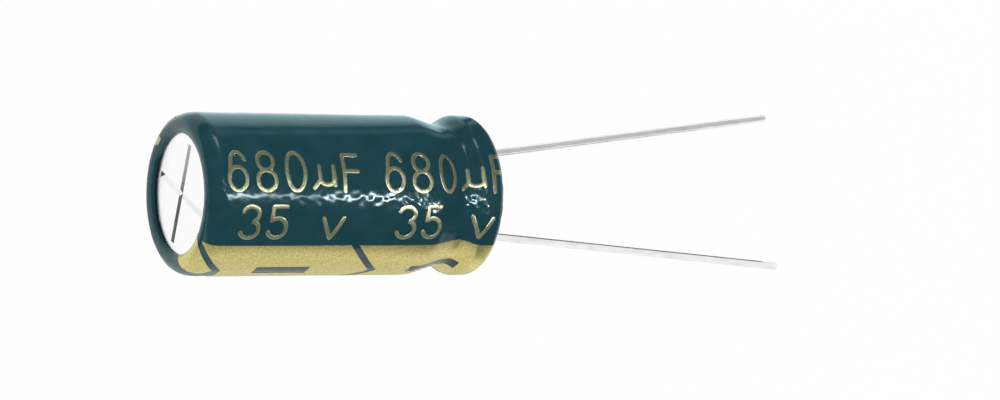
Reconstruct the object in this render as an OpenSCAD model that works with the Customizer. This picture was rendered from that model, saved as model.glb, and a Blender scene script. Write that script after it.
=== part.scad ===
// Radial aluminium electrolytic capacitor with splayed leads.
// The origin is the centre of the seating plane, between the leads. +Z runs up the can to its vent,
// the anode lead is on the +X side and the cathode lead on the -X side.

/* [Can] */
// Outside diameter of the can
can_d = 10; // [9.5:0.5:12.5]
// Height of the can over both rims
can_h = 20.6; // [18:0.1:26]
// Wall of the can
can_wall = 0.3; // [0.2:0.05:0.35]
// Thickness of the closed end at its panel
end_t = 0.35; // [0.25:0.05:0.5]
// Inner corner radius between the closed end and the wall
corner_r = 0.6; // [0.3:0.1:0.8]

/* [Rim of the closed end] */
// Width of the rounded shoulder, from the side to the crest of the rim
shoulder_w = 0.7; // [0.65:0.05:1.1]
// Height of the rounded shoulder
shoulder_h = 1.1; // [0.9:0.05:1.5]
// Width of the rounded inner edge of the rim, from its crest inwards
nose_w = 0.44; // [0.3:0.02:0.5]
// Height of the rounded inner edge of the rim
nose_h = 0.22; // [0.14:0.02:0.22]
// Depth of the panel below the crest of the rim
panel_drop = 0.28; // [0.28:0.02:0.6]
// Fillet between the panel and the rim
foot_r = 0.03; // [0.01:0.01:0.05]

/* [Vent] */
// Plain panel left between each arm of the score and the rim
vent_margin = 0.6; // [0.3:0.1:1]
// Width of a score groove
vent_w = 0.45; // [0.3:0.05:0.6]
// Depth of a score groove
vent_depth = 0.14; // [0.06:0.02:0.2]
// Turn of the cross about the axis, in degrees
vent_turn = -23; // [-45:1:45]

/* [Bead and curl] */
// Height of the bottom of the bead above the seating plane
bead_z = 2.7; // [2.65:0.05:3.2]
// Depth of the bead in the can
bead_depth = 0.95; // [0.75:0.05:1]
// Length of the slope from the bead up to the body
bead_up = 2.6; // [1.6:0.1:2.8]
// Length of the slope from the bead down to the bulge
bead_down = 1.35; // [1:0.05:1.4]
// How far the bulge below the bead stands out past the side
bulge = 0.04; // [0:0.02:0.16]
// Width of the curled edge, from the bulge to its crest
curl_w = 1; // [0.75:0.05:1.05]
// Height of the curled edge
curl_h = 0.55; // [0.5:0.05:0.8]
// Radius of the edge that turns in over the seal
turn_r = 0.6; // [0.5:0.05:0.7]
// Sweep of the edge that turns in, in degrees
turn_angle = 60; // [52:2:76]

/* [Sleeve] */
// Thickness of the shrunk sleeve
sleeve_t = 0.12; // [0.08:0.01:0.2]
// Depth of the dip that the sleeve makes over the bead
sleeve_dip = 0.54; // [0.4:0.02:0.7]
// Sweep of the sleeve over the inner edge of the rim, in degrees
lip_angle = 88; // [60:1:90]
// Sweep of the sleeve under the curled edge, in degrees
hem_angle = 50; // [20:2:52]

/* [Polarity stripe] */
// Turn of the middle of the stripe from the cathode lead, in degrees
stripe_turn = 22.5; // [-40:0.5:40]
// Width of the stripe round the sleeve, in degrees
stripe_arc = 58; // [40:1:70]
// Thickness of the print
ink_t = 0.02; // [0.02:0.01:0.05]
// Distance between one arrow and the next
mark_pitch = 10.85; // [9:0.05:13]
// Distance of the first arrow tip from the closed end
arrow_at = 2.15; // [1:0.05:4]
// Length of an arrow along the stripe
arrow_l = 2.2; // [1.5:0.1:3.5]
// Width of the unprinted line of an arrow
arrow_line = 0.4; // [0.3:0.02:0.7]
// Distance from an arrow tip to the minus sign after it
minus_gap = 2.3; // [1:0.1:3]
// Length of a minus sign
minus_l = 3.7; // [2:0.05:4.5]
// Width of a minus sign
minus_w = 1; // [0.6:0.1:1.4]

/* [End seal] */
// Height of the outer face of the seal above the seating plane
seal_recess = 0.35; // [0.25:0.05:0.4]
// Thickness of the seal
seal_h = 4.65; // [4.4:0.05:5]
// Width of the bevel round the outer face, beside the turned edge of the can
seal_bevel = 0.2; // [0.1:0.05:0.4]

/* [Leads] */
// Distance between the leads where they leave the seal
lead_pitch = 5; // [3.5:0.5:5]
// Diameter of a lead
lead_d = 0.5; // [0.4:0.05:0.8]
// Straight length of the anode lead beyond its bend
anode_lead_l = 23.2; // [5:0.1:35]
// Straight length of the cathode lead beyond its bend
cathode_lead_l = 24.1; // [5:0.1:35]
// Outward slope of the anode lead, in degrees
anode_lead_angle = 7; // [1:0.1:15]
// Outward slope of the cathode lead, in degrees
cathode_lead_angle = 5.3; // [1:0.1:15]
// Radius of the bend where a lead leaves the seal
bend_r = 1.5; // [1:0.1:3]
// Distance from the face of the seal down to where the bend of the leads starts
bend_out = 0.2; // [0.05:0.05:0.3]

/* [Tabs] */
// Diameter of the round stub that passes through the seal
stub_d = 1.5; // [1.2:0.1:1.6]
// Height of the weld between stub and lead above the seating plane
weld_z = 1.3; // [1:0.1:2]
// Extra diameter of the lead at its weld
weld_swell = 0.1; // [0.04:0.02:0.2]
// Thickness of the flat paddle
tab_t = 0.2; // [0.1:0.02:0.26]
// Width of the flat paddle
tab_w = 2; // [1.4:0.1:2.4]
// Length of the paddle inside the winding
tab_l = 11; // [6:0.5:12]

/* [Winding] */
// Radius of the hole that the winding pin leaves
core_r = 0.9; // [0.7:0.05:1]
// Thickness of the etched anode foil
anode_t = 0.1; // [0.08:0.01:0.12]
// Thickness of the cathode foil
cathode_t = 0.05; // [0.03:0.01:0.07]
// Thickness of each paper
paper_t = 0.05; // [0.04:0.01:0.07]
// Air between neighbouring layers
layer_gap = 0.01; // [0.005:0.005:0.02]
// How far the papers stand past the edges of the foils
paper_over = 0.6; // [0.3:0.1:1]
// Space between the winding and the seal
roll_gap = 0.6; // [0.4:0.1:1.2]
// Space between the winding and the closed end
roll_head = 0.1; // [0.05:0.05:0.3]
// Space between the winding and the wall of the can
roll_side = 0.12; // [0.06:0.02:0.4]
// Thickness of the tape round the winding
tape_t = 0.05; // [0.03:0.01:0.1]
// Distance of the tape from the edges of the papers
tape_margin = 1; // [0.5:0.5:3]

/* [Clearances] */
// Air between pieces that seat on each other
fit_gap = 0.01; // [0.005:0.005:0.02]

/* [Hidden] */
$fn = 96;

arc_steps = 10;
slope_steps = 12;
cut_over = 1;
lap = 2 * fit_gap;

side_r = can_d / 2;
low_z = sleeve_t + fit_gap;
top_z = low_z + can_h;
panel_z = top_z - panel_drop;
under_z = panel_z - end_t;
bore_r = side_r - can_wall;
crest_r = side_r - shoulder_w;
rim_in_r = crest_r - nose_w;
bulge_r = side_r + bulge;
curl_r = bulge_r - curl_w;
case_top_z = top_z + fit_gap + sleeve_t;
seal_top_z = seal_recess + seal_h;
lead_r = lead_pitch / 2;
weld_d = lead_d + weld_swell;
bend_z = seal_recess - bend_out;

// Points along an elliptical arc from one angle to another
function bow(c, a, b, from, to) =
    [for (i = [0:arc_steps]) let (t = from + (to - from) * i / arc_steps) c + [a * cos(t), b * sin(t)]];

function reversed(path) = [for (i = [len(path) - 1:-1:0]) path[i]];

// Share of the full depth of a groove at a distance t from its bottom, where 1 and more is past its edge
function dip(t) = (1 + cos(180 * min(t, 1))) / 2;

// Outline of the rim, the bead and the curled edge, each grown outwards from the metal by a distance
function rim_path(grow, sweep) = concat(
    bow([crest_r, top_z - nose_h], nose_w + grow, nose_h + grow, 90 + sweep, 90),
    bow([crest_r, top_z - shoulder_h], shoulder_w + grow, shoulder_h + grow, 90, 0));

function bead_path(grow, depth, rise = bead_up) = concat(
    [for (i = [slope_steps:-1:1]) let (h = rise * i / slope_steps)
        [side_r + grow - depth * dip(h / bead_up), bead_z + h]],
    [for (i = [0:slope_steps]) let (t = i / slope_steps)
        [bulge_r + grow - (depth + bulge) * dip(t), bead_z - bead_down * t]]);

function turn_point(grow, sweep) =
    [curl_r, low_z + turn_r] - (turn_r + grow) * [sin(sweep), cos(sweep)];

function curl_path(grow, sweep) = concat(
    bow([curl_r, low_z + curl_h], curl_w + grow, curl_h + grow, 0, -90),
    [for (i = [1:arc_steps]) turn_point(grow, sweep * i / arc_steps)]);

function case_path(grow, depth, lip, hem) =
    concat(rim_path(grow, lip), bead_path(grow, depth), curl_path(grow, hem));

module shell(inner, outer) {
    polygon(concat(outer, reversed(inner)));
}

// Case

module sleeve() {
    color([0.07, 0.25, 0.3])
    rotate_extrude()
    shell(case_path(fit_gap, sleeve_dip, lip_angle, hem_angle),
          case_path(fit_gap + sleeve_t, sleeve_dip, lip_angle, hem_angle));
}

// Arrow and minus sign in the plane of the stripe, along X towards the leads
module polarity_mark() {
    half_w = side_r * sin(stripe_arc / 2) + cut_over;
    slope = arrow_l / (side_r * sin(stripe_arc / 2));
    line_x = arrow_line * sqrt(1 + slope * slope);
    for (side = [-1, 1])
        polygon([[0, 0], [-line_x, 0], [-line_x - slope * half_w, side * half_w],
                 [-slope * half_w, side * half_w]]);
    translate([minus_gap, -minus_w / 2])
    square([minus_l, minus_w]);
}

module polarity_stripe() {
    stripe_in = fit_gap + sleeve_t + fit_gap / 2;
    mark_count = floor(can_h / mark_pitch) + 1;
    color([0.78, 0.7, 0.42])
    rotate([0, 0, 180 + stripe_turn])
    difference() {
        rotate([0, 0, -stripe_arc / 2])
        rotate_extrude(angle = stripe_arc)
        shell(case_path(stripe_in, sleeve_dip, lip_angle, hem_angle),
              case_path(stripe_in + ink_t, sleeve_dip, lip_angle, hem_angle));
        for (k = [0:mark_count - 1])
            translate([0, 0, case_top_z - arrow_at - k * mark_pitch])
            rotate([0, 90, 0])
            linear_extrude(can_d)
            polarity_mark();
    }
}

module score() {
    arm = rim_in_r - vent_margin;
    rotate([90, 0, 0])
    linear_extrude(2 * arm, center = true)
    polygon([[-vent_w / 2, 0], [0, -vent_depth], [vent_w / 2, 0]]);
}

module can() {
    outer = concat(
        [[0, panel_z]],
        bow([rim_in_r - foot_r, panel_z + foot_r], foot_r, foot_r, -90, 0),
        case_path(0, bead_depth, 90, turn_angle));
    inner = concat(
        [[0, under_z]],
        bow([bore_r - corner_r, under_z - corner_r], corner_r, corner_r, 90, 0),
        bead_path(-can_wall, bead_depth),
        curl_path(-can_wall, turn_angle));
    color([0.85, 0.86, 0.87])
    difference() {
        rotate_extrude()
        shell(inner, outer);
        translate([0, 0, panel_z])
        for (turn = [vent_turn, vent_turn + 90])
            rotate([0, 0, turn])
            score();
    }
}

module end_seal() {
    edge_angle = 3;
    inset = -can_wall - fit_gap;
    edge_out = turn_point(fit_gap, turn_angle + edge_angle);
    edge_in = turn_point(inset, turn_angle + edge_angle);
    outline = concat(
        [[0, seal_recess], [edge_out[0] - seal_bevel, seal_recess], edge_out, edge_in],
        reversed(concat(bead_path(inset, bead_depth, seal_top_z - bead_z), curl_path(inset, turn_angle))),
        [[0, seal_top_z]]);
    color([0.12, 0.12, 0.12])
    difference() {
        rotate_extrude()
        polygon(outline);
        for (side = [-1, 1])
            translate([side * lead_r, 0, 0]) {
                cylinder(h = seal_top_z, d = weld_d + 2 * fit_gap);
                translate([0, 0, weld_z - fit_gap])
                cylinder(h = seal_top_z, d = stub_d + 2 * fit_gap);
            }
    }
}

// Winding: two foils and two papers wound together from the inside out, round the paddles of the tabs

step_angle = 18;
pitch = anode_t + cathode_t + 2 * paper_t + 4 * layer_gap;
inner_paper_base = anode_t + layer_gap;
cathode_base = inner_paper_base + paper_t + layer_gap;
outer_paper_base = cathode_base + cathode_t + layer_gap;
tab_swell = tab_t + layer_gap;

// Winding angles at which the tabs lie, the anode's at +X and the cathode's opposite to it
anode_tab_at = 360 * (lead_r - tab_t / 2 - inner_paper_base - core_r) / pitch;
cathode_wish = 360 * (lead_r - tab_t / 2 - outer_paper_base - core_r) / pitch;
cathode_tab_at = anode_tab_at + 180 + 360 * round((cathode_wish - anode_tab_at - 180) / 360);
end_at = 360 * (bore_r - roll_side - tape_t - layer_gap - tab_swell - core_r) / pitch - 360;

roll_low_z = seal_top_z + roll_gap;
roll_top_z = under_z - roll_head;
foil_low_z = roll_low_z + paper_over;
foil_top_z = roll_top_z - paper_over;

// Angular half-widths of a paddle and of the swelling that fades out beside it
function tab_half(at) = 90 * tab_w / PI / (core_r + pitch * at / 360);
fade_angle = 50;
tape_angle = 359;

function swell(at, angle) =
    let (off = abs((angle - at) % 360),
         d = min(off, 360 - off) - tab_half(at) - step_angle / 2)
    d <= 0 ? 1 : d >= fade_angle ? 0 : dip(d / fade_angle);

// Swelling of a layer over a tab that it has wound past: the layers outside the tab's own turn half a
// turn earlier than those inside it
function past_tab(at, outside, angle) =
    angle > at + (outside ? -180 : 180) ? tab_swell * swell(at, angle) : 0;

// Radius of the inner face of a layer at a winding angle
function layer_r(angle, base) = core_r + pitch * angle / 360 + base
    + past_tab(anode_tab_at, base >= inner_paper_base, angle)
    + past_tab(cathode_tab_at, base >= outer_paper_base, angle);

function at_angle(r, angle) = r * [cos(angle - anode_tab_at), sin(angle - anode_tab_at)];

function strip_angles(from, to) =
    concat([from], [for (k = [floor(from / step_angle) + 1:ceil(to / step_angle) - 1]) k * step_angle], [to]);

module strip(from, to, base, t) {
    angles = strip_angles(from, to);
    polygon(concat([for (a = angles) at_angle(layer_r(a, base), a)],
                   reversed([for (a = angles) at_angle(layer_r(a, base) + t, a)])));
}

module wound(base, t, low, high) {
    translate([0, 0, low])
    linear_extrude(high - low)
    strip(0, end_at, base, t);
}

module anode_foil() {
    color([0.45, 0.45, 0.46]) wound(0, anode_t, foil_low_z, foil_top_z);
}

module inner_separator() {
    color([0.88, 0.84, 0.74]) wound(inner_paper_base, paper_t, roll_low_z, roll_top_z);
}

module cathode_foil() {
    color([0.7, 0.7, 0.72]) wound(cathode_base, cathode_t, foil_low_z, foil_top_z);
}

module outer_separator() {
    color([0.9, 0.86, 0.76]) wound(outer_paper_base, paper_t, roll_low_z, roll_top_z);
}

module winding_tape() {
    low = roll_low_z + tape_margin;
    color([0.75, 0.6, 0.35])
    translate([0, 0, low])
    linear_extrude(roll_top_z - tape_margin - low)
    strip(end_at - tape_angle, end_at, pitch, tape_t);
}

// Paddle of a tab: a short length of the layer that it lies in
module paddle(at, base) {
    angles = [for (k = [-2:2]) at + k / 2 * tab_half(at)];
    face_r = core_r + base;
    polygon(concat([for (a = angles) at_angle(face_r + pitch * a / 360, a)],
                   reversed([for (a = angles) at_angle(face_r + pitch * a / 360 + tab_t, a)])));
}

module tab(side, at, base) {
    translate([side * lead_r, 0, weld_z])
    cylinder(h = seal_top_z - weld_z, d = stub_d, $fn = 48);
    hull() {
        translate([side * lead_r, 0, seal_top_z - lap])
        cylinder(h = lap, d = stub_d, $fn = 24);
        translate([0, 0, roll_low_z - lap])
        linear_extrude(lap)
        paddle(at, base);
    }
    translate([0, 0, roll_low_z - lap])
    linear_extrude(tab_l + lap)
    paddle(at, base);
}

module anode_tab() {
    color([0.8, 0.8, 0.82]) tab(1, anode_tab_at, inner_paper_base);
}

module cathode_tab() {
    color([0.8, 0.8, 0.82]) tab(-1, cathode_tab_at, outer_paper_base);
}

// Leads

module lead(length, splay) {
    low = bend_z - lap;
    translate([lead_r, 0, low])
    cylinder(h = weld_z - low, d = weld_d);
    translate([lead_r + bend_r, 0, bend_z])
    rotate([-90, 0, 0])
    rotate([0, 0, 180 - splay]) {
        rotate_extrude(angle = splay)
        translate([bend_r, 0])
        circle(d = lead_d);
        translate([bend_r, 0, 0])
        rotate([90, 0, 0])
        cylinder(h = length, d = lead_d);
    }
}

module anode_lead() {
    color([0.72, 0.72, 0.74]) lead(anode_lead_l, anode_lead_angle);
}

module cathode_lead() {
    color([0.72, 0.72, 0.74]) mirror([1, 0, 0]) lead(cathode_lead_l, cathode_lead_angle);
}

sleeve();
polarity_stripe();
can();
end_seal();
anode_foil();
inner_separator();
cathode_foil();
outer_separator();
winding_tape();
anode_tab();
cathode_tab();
anode_lead();
cathode_lead();
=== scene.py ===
"""Looks of a radial electrolytic capacitor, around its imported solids."""
import math

import bmesh
import bpy
import numpy as np
from mathutils import Matrix, Vector


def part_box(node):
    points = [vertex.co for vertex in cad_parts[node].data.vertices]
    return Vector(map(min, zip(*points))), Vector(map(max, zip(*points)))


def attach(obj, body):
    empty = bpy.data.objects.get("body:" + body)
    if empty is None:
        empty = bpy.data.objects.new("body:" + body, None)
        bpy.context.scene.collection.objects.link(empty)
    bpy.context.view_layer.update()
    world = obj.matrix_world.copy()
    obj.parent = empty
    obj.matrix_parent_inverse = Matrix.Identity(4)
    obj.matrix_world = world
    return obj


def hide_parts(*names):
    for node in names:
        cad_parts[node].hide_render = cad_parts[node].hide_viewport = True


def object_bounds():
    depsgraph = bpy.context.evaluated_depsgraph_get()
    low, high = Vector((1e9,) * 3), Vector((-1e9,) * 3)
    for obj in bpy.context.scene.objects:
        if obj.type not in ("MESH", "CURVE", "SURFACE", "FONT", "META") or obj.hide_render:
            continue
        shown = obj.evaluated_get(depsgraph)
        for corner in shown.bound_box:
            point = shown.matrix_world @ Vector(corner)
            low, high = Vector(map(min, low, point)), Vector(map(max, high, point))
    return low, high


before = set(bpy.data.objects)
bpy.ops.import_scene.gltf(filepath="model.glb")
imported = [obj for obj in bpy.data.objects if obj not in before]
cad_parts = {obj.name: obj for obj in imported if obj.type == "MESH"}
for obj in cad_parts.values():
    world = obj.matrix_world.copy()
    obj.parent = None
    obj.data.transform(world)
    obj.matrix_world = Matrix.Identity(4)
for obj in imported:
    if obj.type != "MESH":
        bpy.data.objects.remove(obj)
cad_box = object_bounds()

# Lengths are in millimetres and angles in degrees, and MM turns a length into metres.
MM = 0.001
BODY = "root"

# Camera, as it was fitted to the photo
CAMERA_AT = (-0.68, -198.47, 112.31)
CAMERA_AZIMUTH = -0.11
CAMERA_ELEVATION = 30.01
CAMERA_ROLL = -89.77
SENSOR_W = 36
LENS = 126.8
CLIP_NEAR = 1
CLIP_FAR = 20000

# Case, as the solids have it: the can's radius, its fit in the sleeve, the rim's shoulder and nose, the bead
# with its reach up and down, the sleeve's dip over it, the bulge below it, and the curled end
CAN_R = 5
SLEEVE_T = 0.12
FIT_GAP = 0.01
SIDE_R = CAN_R + FIT_GAP + SLEEVE_T
SHOULDER_W = 0.7
SHOULDER_H = 1.1
NOSE_W = 0.44
NOSE_H = 0.22
BEAD_Z = 2.7
BEAD_UP = 2.6
BEAD_DOWN = 1.35
SLEEVE_DIP = 0.54
BULGE = 0.04
CURL_W = 1
CURL_H = 0.55
TURN_R = 0.6
# How far the sleeve turns inwards over the rim and under the curled end
LIP_ANGLE = 88
HEM_ANGLE = 50
CASE_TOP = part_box("sleeve")[1].z / MM
CASE_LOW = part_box("sleeve")[0].z / MM

# Columns of the sleeve's grid, which are closer on the printed front, up to this angle on both its sides
FRONT_ANGLE = 32
FRONT_COLUMNS = 108
FAR_COLUMNS = 150
# Points of the plain inner face, as a share of the outer face's
INNER_SHARE = 0.2

# Polarity stripe, with angles round the case from its printed front
STRIPE_LOW = -96.5
STRIPE_HIGH = -38.5
STRIPE_COLUMNS = 40
# The print repeats: number of groups along the case, and their pitch
GROUPS = 2
MARK_PITCH = 10.85
# An arrow's tip below the crest of the rim, its length and its line, and the minus sign after it
ARROW_AT = 2.15
ARROW_L = 2.2
ARROW_LINE = 0.57
MINUS_GAP = 2.3
MINUS_L = 3.7
MINUS_W = 1
# The first arrow's bare field reaches over the rim: the depth where it turns onto it, and the angle of its
# edge there and at the end of the lip
FIELD_DEPTH = 0.02
FIELD_AT_RIM = -81
FIELD_AT_LIP = -98
# The marks are cut this much wider than the stripe
OVERREACH = 1.1
# Ink above the film and below it, and the least angle of a sharp edge
INK_T = 0.018
INK_ROOT = 0.02
INK_EDGE = 40

# Printed value, drawn with a round pen
STROKE_W = 0.27
PEN_STEP = 0.07
# Rings of a stroke's round end, as angles from where it still has its full width
PEN_CAP = (82, 60, 36, 14)
# Section of a stroke: across it in half widths, and its height over the film
PEN_SECTION = np.array([(-1, -INK_ROOT), (-1, 0.3 * INK_T), (-0.72, 0.9 * INK_T), (0, INK_T),
                        (0.72, 0.9 * INK_T), (1, 0.3 * INK_T), (1, -INK_ROOT)])
# Each sign with its cell: left end from the crest of the rim, lower end from the middle of the front,
# width and height
VALUE = [("6", 1.32, 0.2, 1.2, 2.5), ("8", 3.25, 0.2, 1.24, 2.5), ("0", 5.27, 0.2, 1.24, 2.5),
         ("u", 7.52, 0.6, 0.97, 1.18), ("F", 9.22, 0.2, 0.98, 2.36)]
VOLTAGE = [("3", 2.26, -2.84, 1.24, 2.08), ("5", 4.14, -2.84, 1.24, 2.08), ("v", 7.85, -2.9, 1.4, 1.38)]
# Ends of the print on the far side that reach over the rim: length along the outline, first and last
# angle round the case
RIM_MARKS = [(1.3, 99, 110), (1.52, 101, 112), (0.62, 124, 131), (0.8, 126, 134)]

# Waves of the shrunk film: how many, their shortest and longest length, and the seed of their random draws.
# The wide ones cover the case, the small ones are strongest at its two ends, the creases are on its front.
WIDE_WAVES = (14, 2.4, 6.0, 3)
WIDE_HEIGHT = 0.004
SMALL_WAVES = (26, 0.8, 1.7, 5)
SMALL_HEIGHT = 0.006
CREASES = (40, 0.35, 1.1, 8)
CREASE_HEIGHT = 0.008
CREASE_ANGLE = -2
CREASE_SWEEP = 26
# Depth of the shoulder's waves, how far these and the bead's reach, and the depth and length of the stretch
# in which the creases grow to twice their height
SHOULDER_AT = 0.4
SHOULDER_REACH = 1.6
BEAD_REACH = 3.4
GROWTH_AT = 9
GROWTH_L = 3
# Room for the waves under the smooth outline
FILM_SLACK = 0.012

# Leads: radius, height where the bend starts, radius of the bend, and points round and along the wire
WIRE_R = 0.25
BEND_Z = 0.15
BEND_R = 1.5
WIRE_SIDES = 28
BEND_STEPS = 6
LEAD_STEPS = 24
# Points of a lead's solid that lie this near to its highest one are its top
TOP_SLACK = 0.01
# Rings of the rounded cut end: distance from the tip, and share of the wire's radius
TIP_RINGS = [(0.12, 1), (0.05, 0.97), (0.01, 0.86), (0.0, 0.6)]

# Part of its whole range that most of a noise texture lies in
NOISE_RANGE = (0.3, 0.7)

# Floor with the share of its look that glows, the light from all round, and the key lamp
FLOOR_REACH = 3000
FLOOR_SEEN = 0.96
FLOOR_COLOR = (0.9, 0.9, 0.9)
AMBIENT = 0.75
KEY_AT = (60, -150, 90)
KEY_AIM = (0, 0, 8)
KEY_SIZE = (120, 120)
KEY_POWER = 0.06

# Surroundings that only reflections see, with colours as they are mirrored. A wall has its first and last
# angle round the case and its lower and upper end as angles from the origin.
DARK = (0.035, 0.045, 0.05)
TEAL = (0.66, 0.78, 0.78)
PALE = (1.1, 1.1, 1.1)
GREY = (0.76, 0.76, 0.76)
ROOM_R = 60
WALLS = [(-77, 111, -12, 85, DARK), (111, 142, -12, 60, TEAL), (142, 168, -25, 19, (1.2, 1.3, 1.3)),
         (168, 192, -25, 19, (2.6, 2.7, 2.6)), (192, 215, -25, 19, (0.6, 0.7, 0.7)),
         (-95, -77, -25, 60, PALE), (-130, -95, -25, 60, GREY)]
# Flat rings just under the case: first and last angle, and inner and outer radius
SKIRT_Z = -1.2
SKIRT_R = 5.8
RING_R = 8
SKIRTS = [(-95, -77, SKIRT_R, ROOM_R, PALE), (-130, -95, SKIRT_R, ROOM_R, GREY),
          (-77, -40, RING_R, ROOM_R, DARK), (-77, -54, SKIRT_R, RING_R, (0.85, 0.85, 0.85)),
          (-54, -40, SKIRT_R, RING_R, (0.11, 0.12, 0.12)), (-40, 88, SKIRT_R, ROOM_R, DARK),
          (88, 97, SKIRT_R, ROOM_R, (0.3, 0.48, 0.6)), (97, 105, SKIRT_R, ROOM_R, (0.06, 0.1, 0.12)),
          (105, 112, SKIRT_R, ROOM_R, (0.58, 0.86, 0.92)), (112, 150, SKIRT_R, ROOM_R, (0.85, 1.22, 1.27))]
# Bands just inside the walls, for soft glints on the film: first and last angle, height and brightness
RAIL_R = 58
RAIL_Z = 16
RAILS = [(66, 80, 14, 6), (38, 66, 4, 2), (8, 18, 11, 6)]
# Cards over the vent panel: lowest and highest x, lowest and highest y, and height
SCORE_CARDS = [((0.04, 0.04, 0.04), (-11, -3, -1, 4.5, 31)),
               ((0.35, 0.35, 0.35), (-9.5, 1, -0.5, 5.5, 36))]
# Cards beside the leads, by their corners
LEAD_CARDS = [((0.6, 0.59, 0.585),
               [(4.2, -1.2, -25), (10, -1.2, -25), (7.2, -1.2, -1.5), (1.4, -1.2, -1.5)]),
              ((0.15, 0.15, 0.15),
               [(-3, -0.35, -26), (-3.7, 1.5, -26), (-1.2, 1.5, -1), (-0.5, -0.35, -1)])]

# Narrow lamps along the film's highlight: x, lower and upper end, and power
STRIP_Y = -12
STRIP_W = 0.35
STRIPS = [("strip_high", -0.4, 13.7, 17.2, 0.0002), ("strip_middle", -0.5, 9.4, 13.7, 0.00012),
          ("strip_low", -0.75, 3.2, 9.4, 0.0006), ("strip_bulge", -2.4, -0.8, 1.6, 0.0004)]

ONE_FACE = [(0, 1, 2, 3)]


# Outline of the sleeve

def lengths_along(points):
    """Length of a line from its first point to each of its points."""
    return np.concatenate([[0], np.cumsum(np.hypot(*np.diff(points, axis=0).T))])


def pairs_at(s, lengths, pairs):
    """Pairs of values that are known at some lengths, read at the lengths s."""
    return np.stack([np.interp(s, lengths, pairs[:, 0]), np.interp(s, lengths, pairs[:, 1])], axis=-1)


class Outline:
    """Outline of the sleeve from its lip over the side to its hem, by the length s along it."""

    def __init__(self, points):
        self.points = points
        self.s = lengths_along(points)
        tangent = np.gradient(points, self.s, axis=0)
        tangent /= np.linalg.norm(tangent, axis=1)[:, None]
        self.normals = np.stack([-tangent[:, 1], tangent[:, 0]], axis=1)
        crest = int(np.argmax(points[:, 1]))
        self.side_depth = CASE_TOP - points[crest:, 1]
        self.side_s = self.s[crest:]

    def s_at(self, depth):
        """Length along the outline at a depth below the crest of the rim."""
        return float(np.interp(depth, self.side_depth, self.side_s))

    def place(self, s, angle, lift=0.0):
        """Points on the wrinkled film, or lifted off it, in metres."""
        s, angle = np.broadcast_arrays(np.asarray(s, float), np.asarray(angle, float))
        at = pairs_at(s, self.s, self.points)
        out = pairs_at(s, self.s, self.normals)
        grown = at + out * (lift + wrinkle(self, s, angle))[..., None]
        turn = np.radians(angle)
        return np.stack([grown[..., 0] * np.sin(turn), -grown[..., 0] * np.cos(turn), grown[..., 1]],
                        axis=-1) * MM


def bow(centre, a, b, start, end, steps):
    """Points along an elliptical arc."""
    turn = np.radians(np.linspace(start, end, steps))
    return np.stack([centre[0] + a * np.cos(turn), centre[1] + b * np.sin(turn)], axis=1)


def dip(t):
    """Smooth fall from 1 at t = 0 to 0 at t = 1, as the bead's depth has it."""
    return (1 + np.cos(np.pi * t)) / 2


def case_outline(inset=0.0, fine=1.0):
    """Radius and height along the sleeve, at a distance inside its outer face."""

    def count(points):
        return max(3, round(points * fine))

    grow = SLEEVE_T + FIT_GAP - inset
    metal_r = SIDE_R - SLEEVE_T - FIT_GAP
    crest_r = metal_r - SHOULDER_W
    metal_top = CASE_TOP - SLEEVE_T - FIT_GAP
    metal_low = CASE_LOW + SLEEVE_T + FIT_GAP
    curl_r = metal_r + BULGE - CURL_W
    up = np.linspace(1, 0, count(36))[:-1]
    down = np.linspace(0, 1, count(22))
    bead_top = BEAD_Z + BEAD_UP
    side = np.linspace(metal_top - SHOULDER_H, bead_top, count(130))[1:-1]
    turned = np.radians(np.linspace(0, HEM_ANGLE, count(10)))[1:]
    parts = [
        # Lip, shoulder and side
        bow((crest_r, metal_top - NOSE_H), NOSE_W + grow, NOSE_H + grow, 90 + LIP_ANGLE, 90,
            count(14))[:-1],
        bow((crest_r, metal_top - SHOULDER_H), SHOULDER_W + grow, SHOULDER_H + grow, 90, 0, count(26)),
        np.stack([np.full_like(side, metal_r + grow), side], axis=1),
        # Dip over the bead, down to its deepest point and out to the bulge
        np.stack([metal_r + grow - SLEEVE_DIP * dip(up), BEAD_Z + BEAD_UP * up], axis=1),
        np.stack([metal_r + BULGE + grow - (SLEEVE_DIP + BULGE) * dip(down), BEAD_Z - BEAD_DOWN * down],
                 axis=1),
        # Curled end and hem
        bow((curl_r, metal_low + CURL_H), CURL_W + grow, CURL_H + grow, 0, -90, count(20)),
        np.stack([curl_r - (TURN_R + grow) * np.sin(turned),
                  metal_low + TURN_R - (TURN_R + grow) * np.cos(turned)], axis=1),
    ]
    return np.concatenate(parts)


# Film

def ripples(s, angle, waves, shortest, longest, seed):
    """Sum of waves of random direction and length, from about -1 to 1, closed round the case."""
    draw = np.random.default_rng(seed)
    total = np.zeros_like(s)
    for _ in range(waves):
        length = draw.uniform(shortest, longest)
        heading = draw.uniform(0, math.pi)
        along = 2 * math.pi / length * math.cos(heading)
        around = round(2 * math.pi / length * math.sin(heading) * SIDE_R)
        total += np.sin(along * s + around * np.radians(angle) + draw.uniform(0, 2 * math.pi))
    return total / math.sqrt(waves)


def bump_at(values, centre, half):
    """Smooth hump of height 1 at centre that is gone at a distance half on each side."""
    t = np.clip(np.abs(values - centre) / half, 0, 1)
    return dip(t)


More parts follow.
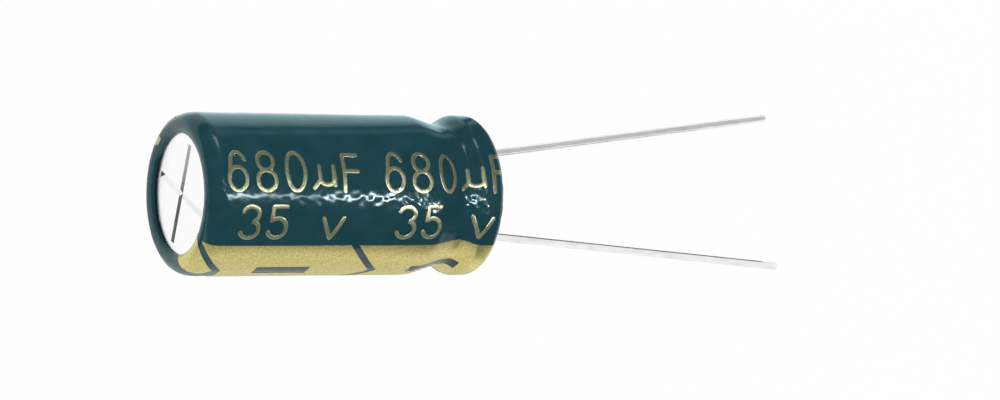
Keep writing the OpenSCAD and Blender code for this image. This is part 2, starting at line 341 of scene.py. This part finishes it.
def wrinkle(outline, s, angle):
    """Height of the shrunk film, which leaves room for the ink under the smooth outline."""
    front = (angle + 180) % 360 - 180
    shoulder = bump_at(s, outline.s_at(SHOULDER_AT), SHOULDER_REACH)
    bead = bump_at(s, outline.s_at(CASE_TOP - BEAD_Z), BEAD_REACH)
    creased = bump_at(front, CREASE_ANGLE, CREASE_SWEEP)
    wide = WIDE_HEIGHT * ripples(s, angle, *WIDE_WAVES)
    small = SMALL_HEIGHT * (0.1 + 0.8 * shoulder + bead) * ripples(s, angle, *SMALL_WAVES)
    lower = 1 + np.clip((s - outline.s_at(GROWTH_AT)) / GROWTH_L, 0, 1)
    fine = CREASE_HEIGHT * creased * lower * ripples(s, angle, *CREASES)
    height = wide + small + fine
    return np.minimum(height - FILM_SLACK, 0) - INK_T


# Meshes

def make_object(name, verts, faces):
    """Object from points in metres."""
    mesh = bpy.data.meshes.new(name)
    mesh.from_pydata([tuple(v) for v in verts], [], faces)
    mesh.validate()
    obj = bpy.data.objects.new(name, mesh)
    bpy.context.scene.collection.objects.link(obj)
    return obj


def grid_faces(rows, columns, close_rows=False, close_columns=False):
    """Quads of a grid of points that are stored row by row."""
    faces = []
    for i in range(rows if close_rows else rows - 1):
        for j in range(columns if close_columns else columns - 1):
            a, b = i * columns, (i + 1) % rows * columns
            k = (j + 1) % columns
            faces.append((a + j, a + k, b + k, b + j))
    return faces


def finish_piece(obj, material, replaced=()):
    """Closed surface turned outwards, smooth, with its material, on the capacitor's body."""
    work = bmesh.new()
    work.from_mesh(obj.data)
    bmesh.ops.recalc_face_normals(work, faces=work.faces)
    for face in work.faces:
        face.smooth = True
    work.to_mesh(obj.data)
    work.free()
    obj.data.materials.append(material)
    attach(obj, BODY)
    if replaced:
        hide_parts(*replaced)


# Sleeve and stripe

def build_sleeve(outline, material):
    """Thin shell with an outer face that carries the wrinkles and a plain inner face."""
    front = np.linspace(-FRONT_ANGLE, FRONT_ANGLE, FRONT_COLUMNS, endpoint=False)
    far = np.linspace(FRONT_ANGLE, 360 - FRONT_ANGLE, FAR_COLUMNS, endpoint=False)
    angles = np.concatenate([front, far])
    columns = len(angles)
    outer = outline.place(outline.s[:, None], angles[None, :])
    inner_path = case_outline(inset=SLEEVE_T, fine=INNER_SHARE)[::-1]
    turn = np.radians(angles)[None, :]
    r, z = inner_path[:, :1], inner_path[:, 1:]
    inner = np.stack([r * np.sin(turn), -r * np.cos(turn), z + 0 * turn], axis=-1) * MM
    rings = np.concatenate([outer, inner])
    sleeve = make_object("sleeve_film", rings.reshape(-1, 3),
                         grid_faces(len(rings), columns, close_rows=True, close_columns=True))
    finish_piece(sleeve, material, ["sleeve"])


def mark_shapes(outline):
    """Convex outlines of the unprinted marks, by length along the case and arc across the stripe."""
    middle = math.radians((STRIPE_LOW + STRIPE_HIGH) / 2) * SIDE_R
    half = math.radians((STRIPE_HIGH - STRIPE_LOW) / 2) * SIDE_R * OVERREACH
    slope = ARROW_L / math.radians((STRIPE_HIGH - STRIPE_LOW) / 2) / SIDE_R
    shapes = []
    for k in range(GROUPS):
        tip = outline.s_at(ARROW_AT) + k * MARK_PITCH
        for side in (-1, 1):
            far, edge = tip - slope * half, middle + side * half
            shapes.append([(tip, middle), (tip - ARROW_LINE, middle), (far - ARROW_LINE, edge), (far, edge)])
        if k == 0:
            rim, start, low = outline.s_at(FIELD_DEPTH), -1, middle - half
            swung, last = (math.radians(a) * SIDE_R for a in (FIELD_AT_RIM, FIELD_AT_LIP))
            shapes.append([(tip, middle), (rim, swung), (rim, low), (tip, low)])
            shapes.append([(rim, swung), (start, last), (start, low), (rim, low)])
        a, b = tip + MINUS_GAP, tip + MINUS_GAP + MINUS_L
        low, high = middle - MINUS_W / 2, middle + MINUS_W / 2
        shapes.append([(a, low), (b, low), (b, high), (a, high)])
    return shapes


def cut_shape(work, shape):
    """Cuts a flat mesh along the sides of a convex outline and takes out what lies inside it."""
    points = [Vector((x, y, 0)) for x, y in shape]
    middle = sum(points, Vector()) / len(points)
    sides = []
    for a, b in zip(points, points[1:] + points[:1]):
        across = (b - a).cross(Vector((0, 0, 1))).normalized()
        if across.dot(middle - a) > 0:
            across = -across
        sides.append((a, across))
    # Each side only cuts faces near the outline, so that no cut runs on through the rest of the mesh
    reach = max((p - middle).length for p in points) * 1.5
    for at, across in sides:
        near = [f for f in work.faces if (f.calc_center_median() - middle).length < reach]
        geom = list({g for f in near for g in [*f.verts, *f.edges, f]})
        bmesh.ops.bisect_plane(work, geom=geom, plane_co=at, plane_no=across, dist=1e-5)
    inside = [f for f in work.faces
              if all((f.calc_center_median() - at).dot(across) < 0 for at, across in sides)]
    bmesh.ops.delete(work, geom=inside, context="FACES")


def build_stripe(outline, material):
    """Layer of ink with its arrows and minus signs left out."""
    low, high = (math.radians(a) * SIDE_R for a in (STRIPE_LOW, STRIPE_HIGH))
    across = np.linspace(low, high, STRIPE_COLUMNS)
    flat = [(s, v, 0) for s in outline.s for v in across]
    stripe = make_object("stripe_ink", flat, grid_faces(len(outline.s), STRIPE_COLUMNS))
    work = bmesh.new()
    work.from_mesh(stripe.data)
    for shape in mark_shapes(outline):
        cut_shape(work, shape)
    grown = bmesh.ops.extrude_face_region(work, geom=list(work.faces))["geom"]
    top = {v for v in grown if isinstance(v, bmesh.types.BMVert)}
    for v in work.verts:
        v.co.z = INK_T if v in top else -INK_ROOT
    flat_points = np.array([v.co for v in work.verts])
    placed = outline.place(flat_points[:, 0], np.degrees(flat_points[:, 1] / SIDE_R), flat_points[:, 2])
    for v, point in zip(work.verts, placed):
        v.co = point
    work.to_mesh(stripe.data)
    work.free()
    finish_piece(stripe, material, ["polarity_stripe"])
    stripe.data.set_sharp_from_angle(angle=math.radians(INK_EDGE))


# Printed value

def arc(x, y, rx, ry, start, end):
    """Pen stroke along an elliptical arc."""
    return bow((x, y), rx, ry, start, end, max(8, int(abs(end - start) / 9)))


def strokes_of(sign):
    """Pen strokes of a sign in a cell of width 1 and height 1."""
    if sign == "0":
        return [arc(0.5, 0.5, 0.5, 0.5, 90, 450)]
    if sign == "3":
        return [np.concatenate([arc(0.47, 0.76, 0.45, 0.24, 160, -75),
                                arc(0.47, 0.28, 0.5, 0.28, 75, -160)])]
    if sign == "5":
        return [np.concatenate([[(0.9, 1), (0.18, 1), (0.1, 0.56)], arc(0.46, 0.32, 0.5, 0.32, 118, -158)])]
    if sign == "6":
        return [np.concatenate([arc(0.56, 0.66, 0.42, 0.34, 25, 150), arc(0.5, 0.3, 0.5, 0.3, 180, 540)])]
    if sign == "8":
        return [arc(0.5, 0.76, 0.43, 0.24, -90, 270), arc(0.5, 0.26, 0.5, 0.26, 90, 450)]
    if sign == "F":
        return [np.array([(0, 0), (0, 1), (1, 1)]), np.array([(0, 0.54), (0.96, 0.54)])]
    if sign == "u":
        return [np.array([(0, 1), (0, 0.25), (-0.44, -0.17)]),
                np.concatenate([arc(0.5, 0.3, 0.5, 0.3, 190, 340), [(1, 1)]]),
                np.array([(1, 1), (1.05, -0.02)])]
    if sign == "v":
        return [np.array([(0, 1), (0.45, 0), (1, 1)])]
    raise ValueError(sign)


def pen_line(points, step):
    """Points at even steps along a stroke."""
    lengths = lengths_along(points)
    even = np.linspace(0, lengths[-1], max(2, math.ceil(lengths[-1] / step) + 1))
    return pairs_at(even, lengths, points)


def draw_stroke(outline, points):
    """Vertices and faces of one raised stroke with round ends."""
    line = pen_line(points, PEN_STEP)
    along = np.gradient(line, axis=0)
    along /= np.linalg.norm(along, axis=1)[:, None] + 1e-12
    cap = np.radians(PEN_CAP)
    half = STROKE_W / 2
    first = line[0] - along[0] * half * np.sin(cap)[:, None]
    last = line[-1] + along[-1] * half * np.sin(cap[::-1])[:, None]
    centres = np.concatenate([first, line, last])
    heads = np.concatenate([np.repeat(along[:1], len(cap), 0), along, np.repeat(along[-1:], len(cap), 0)])
    widths = half * np.concatenate([np.cos(cap), np.ones(len(line)), np.cos(cap[::-1])])
    normal = np.stack([-heads[:, 1], heads[:, 0]], axis=1)
    spots = centres[:, None, :] + normal[:, None, :] * (widths[:, None] * PEN_SECTION[:, 0])[..., None]
    lift = np.broadcast_to(PEN_SECTION[:, 1], spots.shape[:2])
    placed = outline.place(spots[..., 0], np.degrees(spots[..., 1] / SIDE_R), lift)
    rows, columns = lift.shape
    faces = grid_faces(rows, columns, close_columns=True)
    faces += [tuple(range(columns)), tuple(range((rows - 1) * columns, rows * columns))]
    return placed.reshape(-1, 3), faces


def written(outline, signs):
    """Strokes of a line of signs, in each of its repeats."""
    return [stroke * (width, height) + (outline.s_at(left) + k * MARK_PITCH, low)
            for k in range(GROUPS)
            for sign, left, low, width, height in signs
            for stroke in strokes_of(sign)]


def rim_strokes():
    """Bars of the print on the far side that reach over the rim."""
    return [np.array([(along, math.radians(first) * SIDE_R), (along, math.radians(last) * SIDE_R)])
            for along, first, last in RIM_MARKS]


def build_print(outline, name, strokes, material):
    """One piece of raised ink from all its strokes."""
    verts, faces = [], []
    for points in strokes:
        placed, quads = draw_stroke(outline, points)
        faces += [tuple(len(verts) + i for i in face) for face in quads]
        verts.extend(placed)
    finish_piece(make_object(name, verts, faces), material)


# Leads

def lead_path(node, side):
    """Centre line of a lead from its weld to its tip, read from the ends of its solid."""
    low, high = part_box(node)
    points = np.array([v.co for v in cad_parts[node].data.vertices])
    tip = points[points[:, 2] < low.z + WIRE_R * MM].mean(axis=0)
    top = points[points[:, 2] > high.z - TOP_SLACK * MM].mean(axis=0)
    start = np.array([top[0], 0, BEND_Z * MM])
    # The splay and the end of the bend hang on each other, and settle in a few rounds
    splay = math.atan2(abs(tip[0] - start[0]), start[2] - tip[2])
    for _ in range(4):
        bend_end = start + BEND_R * MM * np.array([side * (1 - math.cos(splay)), 0, -math.sin(splay)])
        splay = math.atan2(abs(tip[0] - bend_end[0]), bend_end[2] - tip[2])
    turn = np.linspace(0, splay, BEND_STEPS)[1:]
    bend = start + BEND_R * MM * np.stack([side * (1 - np.cos(turn)), 0 * turn, -np.sin(turn)], axis=1)
    straight = bend[-1] + np.linspace(0, 1, LEAD_STEPS)[1:, None] * (tip - bend[-1])
    return np.concatenate([[top, start], bend, straight])


def build_lead(node, side, material):
    """Round wire with a slightly rounded cut end."""
    path = lead_path(node, side)
    along = np.gradient(path, axis=0)
    along /= np.linalg.norm(along, axis=1)[:, None]
    across = np.array([0.0, 1.0, 0.0])
    turn = np.linspace(0, 2 * math.pi, WIRE_SIDES, endpoint=False)
    rings, heads = list(path[:-1]), list(along[:-1])
    radii = [WIRE_R * MM] * len(rings)
    for back, share in TIP_RINGS:
        rings.append(path[-1] - along[-1] * back * MM)
        heads.append(along[-1])
        radii.append(WIRE_R * MM * share)
    verts = []
    for centre, head, r in zip(rings, heads, radii):
        other = np.cross(head, across)
        verts += [centre + r * (math.cos(t) * across + math.sin(t) * other) for t in turn]
    faces = grid_faces(len(rings), WIRE_SIDES, close_columns=True)
    faces += [tuple(range(WIRE_SIDES)), tuple(range(len(verts) - WIRE_SIDES, len(verts)))]
    finish_piece(make_object(node + "_wire", verts, faces), material, [node])


# Materials

class Finish:
    """A material of one Principled shader, with its textures in millimetres of the part."""

    def __init__(self, name, color, **values):
        self.material = bpy.data.materials.new(name)
        self.material.use_nodes = True
        self.nodes = self.material.node_tree.nodes
        self.links = self.material.node_tree.links
        self.shader = self.nodes["Principled BSDF"]
        self.shader.inputs["Base Color"].default_value = (*color, 1)
        for socket, value in values.items():
            self.shader.inputs[socket.replace("_", " ")].default_value = value
        self.place = self.nodes.new("ShaderNodeTexCoord").outputs["Object"]
        self.last_bump = None

    def noise(self, size, detail=3.0, stretch=(1, 1, 1), roughness=0.5):
        """Noise whose grains are about size mm across, or longer along the axes that stretch names."""
        mapping = self.nodes.new("ShaderNodeMapping")
        mapping.inputs["Scale"].default_value = [1 / (size * MM * s) for s in stretch]
        texture = self.nodes.new("ShaderNodeTexNoise")
        texture.inputs["Scale"].default_value = 1
        texture.inputs["Detail"].default_value = detail
        texture.inputs["Roughness"].default_value = roughness
        self.links.new(self.place, mapping.inputs["Vector"])
        self.links.new(mapping.outputs["Vector"], texture.inputs["Vector"])
        return texture.outputs["Fac"]

    def spread(self, value, low, high):
        """Noise rescaled to run from low to high."""
        node = self.nodes.new("ShaderNodeMapRange")
        for socket, number in zip(("From Min", "From Max", "To Min", "To Max"), (*NOISE_RANGE, low, high)):
            node.inputs[socket].default_value = number
        self.links.new(value, node.inputs["Value"])
        return node.outputs["Result"]

    def blend(self, share, first, second):
        """Mix of two colours, by a value from 0 to 1."""
        node = self.nodes.new("ShaderNodeMix")
        node.data_type = "RGBA"
        self.links.new(share, node.inputs["Factor"])
        node.inputs[6].default_value = (*first, 1)
        node.inputs[7].default_value = (*second, 1)
        return node.outputs[2]

    def color(self, value):
        self.links.new(value, self.shader.inputs["Base Color"])

    def roughness(self, value):
        self.links.new(value, self.shader.inputs["Roughness"])

    def bump(self, height, depth):
        """Relief of depth mm, over any relief laid before."""
        node = self.nodes.new("ShaderNodeBump")
        node.inputs["Distance"].default_value = depth * MM
        self.links.new(height, node.inputs["Height"])
        if self.last_bump:
            self.links.new(self.last_bump, node.inputs["Normal"])
        self.last_bump = node.outputs["Normal"]
        self.links.new(self.last_bump, self.shader.inputs["Normal"])


def sleeve_finish():
    """Glossy film with faint blotches and a fine relief."""
    film = Finish("sleeve_film", (0.012, 0.06, 0.08), Specular_IOR_Level=0.4,
                  Specular_Tint=(0.8, 1, 1, 1))
    film.color(film.blend(film.spread(film.noise(1.6), 0, 1), (0.0095, 0.053, 0.066), (0.015, 0.067, 0.086)))
    film.roughness(film.spread(film.noise(1.2), 0.13, 0.2))
    film.bump(film.noise(0.3, 2.0), 0.003)
    return film.material


def ink_finish(name, color, metallic, darkest, brightest):
    """Grainy print with metal flakes in it."""
    ink = Finish(name, color, Metallic=metallic)
    grain = ink.noise(0.14, 3.0, roughness=0.7)
    ink.color(ink.blend(ink.spread(grain, 0, 1), darkest, brightest))
    ink.roughness(ink.spread(ink.noise(0.3), 0.34, 0.46))
    ink.bump(grain, 0.006)
    return ink.material


def metal_finish(name, color, roughness, grain_mm, relief, stretch=(1, 1, 1), fade=0.9):
    """Bare metal with a grain that darkens it to the share fade and lies in relief."""
    metal = Finish(name, color, Metallic=1.0)
    grain = metal.noise(grain_mm, 4.0, stretch)
    metal.color(metal.blend(metal.spread(grain, 0, 1), tuple(fade * c for c in color), color))
    metal.roughness(metal.spread(metal.noise(grain_mm * 3), roughness * 0.85, roughness * 1.2))
    metal.bump(grain, relief)
    return metal.material


def matt_finish(name, color, roughness, grain_mm, relief, stretch=(1, 1, 1)):
    """Rubber, paper or tape with a grain."""
    matt = Finish(name, color)
    grain = matt.noise(grain_mm, 5.0, stretch)
    matt.color(matt.blend(matt.spread(grain, 0, 1), tuple(0.8 * c for c in color), color))
    matt.roughness(matt.spread(matt.noise(grain_mm * 4), roughness * 0.9, roughness))
    matt.bump(grain, relief)
    return matt.material


def dress_nodes(finishes):
    """Gives each solid that shows, or would in a section, its material."""
    for node, material in finishes.items():
        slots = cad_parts[node].data.materials
        slots.clear()
        slots.append(material)


# Stage

def bare_material(name):
    """Material with no shader yet, and its nodes and links."""
    material = bpy.data.materials.new(name)
    material.use_nodes = True
    nodes, links = material.node_tree.nodes, material.node_tree.links
    nodes.clear()
    return material, nodes, links


def seen_rays(nodes, links):
    """Value that is 1 for what the camera or a mirror sees, and 0 for other light."""
    path = nodes.new("ShaderNodeLightPath")
    most = nodes.new("ShaderNodeMath")
    most.operation = "MAXIMUM"
    links.new(path.outputs["Is Camera Ray"], most.inputs[0])
    links.new(path.outputs["Is Glossy Ray"], most.inputs[1])
    return most.outputs["Value"]


def material_of_light(name, seen, lit):
    """White surface whose share seen glows to cameras and mirrors, and whose rest catches shadows."""
    material, nodes, links = bare_material(name)
    out = nodes.new("ShaderNodeOutputMaterial")
    mix = nodes.new("ShaderNodeMixShader")
    glow = nodes.new("ShaderNodeEmission")
    matt = nodes.new("ShaderNodeBsdfDiffuse")
    share = nodes.new("ShaderNodeMath")
    share.operation = "MULTIPLY"
    share.inputs[1].default_value = seen
    matt.inputs["Color"].default_value = (*lit, 1)
    links.new(seen_rays(nodes, links), share.inputs[0])
    links.new(share.outputs["Value"], mix.inputs["Fac"])
    links.new(matt.outputs["BSDF"], mix.inputs[1])
    links.new(glow.outputs["Emission"], mix.inputs[2])
    links.new(mix.outputs["Shader"], out.inputs["Surface"])
    return material


def build_floor():
    """Pale floor under the tips of the leads."""
    reach = FLOOR_REACH * MM
    corners = [(-reach, -reach), (reach, -reach), (reach, reach), (-reach, reach)]
    floor = make_object("floor", [(x, y, cad_box[0].z) for x, y in corners], ONE_FACE)
    floor.data.materials.append(material_of_light("pale_floor", FLOOR_SEEN, FLOOR_COLOR))


def glossy_card(name, verts, faces, color):
    """Glowing surface that only reflections see."""
    card = make_object(name, [Vector(v) * MM for v in verts], faces)
    material, nodes, links = bare_material(name)
    card.data.materials.append(material)
    out = nodes.new("ShaderNodeOutputMaterial")
    glow = nodes.new("ShaderNodeEmission")
    glow.inputs["Color"].default_value = (*color, 1)
    links.new(glow.outputs["Emission"], out.inputs["Surface"])
    for ray in ("camera", "diffuse", "transmission", "shadow", "volume_scatter"):
        setattr(card, "visible_" + ray, False)


def round_wall(from_angle, to_angle, levels, steps=48):
    """Points and faces of a wall round the capacitor, by its radius and height at each level."""
    turn = np.radians(np.linspace(from_angle, to_angle, steps))
    verts = [(r * math.sin(t), -r * math.cos(t), z) for r, z in levels for t in turn]
    return verts, grid_faces(len(levels), steps)


def upright(r, low, high, steps=12):
    """Levels of a wall that follows a ball of radius r between two heights given as angles."""
    return [(r * math.cos(p), r * math.sin(p)) for p in np.radians(np.linspace(low, high, steps))]


def build_room():
    """Dark and pale surroundings that only the film and the metal mirror."""
    for k, (start, end, low, high, color) in enumerate(WALLS):
        glossy_card("wall_%d" % k, *round_wall(start, end, upright(ROOM_R, low, high)), color)
    for k, (start, end, inner_r, outer_r, color) in enumerate(SKIRTS):
        ring = [(inner_r, SKIRT_Z), (outer_r, SKIRT_Z)]
        glossy_card("skirt_%d" % k, *round_wall(start, end, ring), color)
    for k, (start, end, height, glow) in enumerate(RAILS):
        rail = [(RAIL_R, RAIL_Z - height / 2), (RAIL_R, RAIL_Z + height / 2)]
        glossy_card("rail_%d" % k, *round_wall(start, end, rail), (glow, glow, glow))
    for k, (color, (x0, x1, y0, y1, z)) in enumerate(SCORE_CARDS):
        corners = [(x0, y0, z), (x1, y0, z), (x1, y1, z), (x0, y1, z)]
        glossy_card("score_card_%d" % k, corners, ONE_FACE, color)
    for k, (color, corners) in enumerate(LEAD_CARDS):
        glossy_card("lead_card_%d" % k, corners, ONE_FACE, color)


def build_world():
    """White light from all round, dimmed for the surfaces it lights but not where it is seen."""
    world = bpy.data.worlds.new("studio")
    bpy.context.scene.world = world
    world.use_nodes = True
    nodes, links = world.node_tree.nodes, world.node_tree.links
    shade = nodes["Background"]
    shade.inputs["Color"].default_value = (1, 1, 1, 1)
    strength = nodes.new("ShaderNodeMapRange")
    strength.inputs["To Min"].default_value = AMBIENT
    strength.inputs["To Max"].default_value = 1
    links.new(seen_rays(nodes, links), strength.inputs["Value"])
    links.new(strength.outputs["Result"], shade.inputs["Strength"])


def add_lamp(name, at, aim, size, power, glossy=True):
    """Area lamp at one point that faces another, and that either lights surfaces or shows in mirrors."""
    lamp = bpy.data.lights.new(name, "AREA")
    lamp.shape = "RECTANGLE"
    lamp.size, lamp.size_y = (side * MM for side in size)
    lamp.energy = power
    obj = bpy.data.objects.new(name, lamp)
    bpy.context.scene.collection.objects.link(obj)
    obj.location = Vector(at) * MM
    obj.rotation_mode = "QUATERNION"
    obj.rotation_quaternion = (Vector(aim) - Vector(at)).to_track_quat("-Z", "Y")
    obj.visible_camera = False
    obj.visible_glossy = glossy
    obj.visible_diffuse = not glossy


def build_lamps():
    """Key lamp for the surfaces, and the narrow ones for the film's highlight."""
    add_lamp("key", KEY_AT, KEY_AIM, KEY_SIZE, KEY_POWER, glossy=False)
    for name, x, low, high, power in STRIPS:
        middle = (low + high) / 2
        add_lamp(name, (x, STRIP_Y, middle), (x, 0, middle), (STRIP_W, high - low), power)


def build_camera():
    camera = bpy.data.cameras.new("camera")
    camera.sensor_width = SENSOR_W
    camera.lens = LENS
    camera.clip_start = CLIP_NEAR * MM
    camera.clip_end = CLIP_FAR * MM
    obj = bpy.data.objects.new("camera", camera)
    bpy.context.scene.collection.objects.link(obj)
    turns = [Matrix.Rotation(math.radians(CAMERA_AZIMUTH), 4, "Z"),
             Matrix.Rotation(math.radians(90 - CAMERA_ELEVATION), 4, "X"),
             Matrix.Rotation(math.radians(CAMERA_ROLL), 4, "Z")]
    obj.matrix_world = Matrix.Translation(Vector(CAMERA_AT) * MM) @ turns[0] @ turns[1] @ turns[2]
    bpy.context.scene.camera = obj


# The whole scene

build_camera()
film_outline = Outline(case_outline())
gold = ink_finish("gold_ink", (0.72, 0.63, 0.27), 0.9, (0.56, 0.46, 0.14), (0.87, 0.785, 0.34))
pale_gold = ink_finish("pale_ink", (0.6, 0.57, 0.4), 0.85, (0.4, 0.405, 0.24), (0.6, 0.605, 0.385))
tinned = metal_finish("tinned_wire", (0.95, 0.94, 0.93), 0.24, 0.3, 0.004, (1, 1, 4), 0.82)
build_sleeve(film_outline, sleeve_finish())
build_stripe(film_outline, gold)
build_print(film_outline, "value_print", written(film_outline, VALUE), pale_gold)
build_print(film_outline, "voltage_print", written(film_outline, VOLTAGE), pale_gold)
build_print(film_outline, "rim_print", rim_strokes(), pale_gold)
build_lead("anode_lead", 1, tinned)
build_lead("cathode_lead", -1, tinned)
tab_metal = metal_finish("tab_metal", (0.75, 0.75, 0.77), 0.4, 0.1, 0.003)
paper = matt_finish("separator_paper", (0.75, 0.66, 0.48), 0.9, 0.15, 0.01, (1, 1, 4))
dress_nodes({
    "can": metal_finish("can_metal", (0.985, 0.985, 0.985), 0.22, 0.3, 0.001, fade=0.97),
    "end_seal": matt_finish("seal_rubber", (0.02, 0.02, 0.02), 0.75, 0.12, 0.006),
    "anode_foil": metal_finish("anode_metal", (0.4, 0.4, 0.41), 0.7, 0.05, 0.003),
    "cathode_foil": metal_finish("cathode_metal", (0.62, 0.62, 0.64), 0.6, 0.05, 0.003),
    "inner_separator": paper,
    "outer_separator": paper,
    "winding_tape": matt_finish("tape_film", (0.6, 0.42, 0.18), 0.3, 0.4, 0.002),
    "anode_tab": tab_metal,
    "cathode_tab": tab_metal,
})

build_floor()
build_room()
build_world()
build_lamps()
bpy.context.scene.view_settings.view_transform = "Standard"
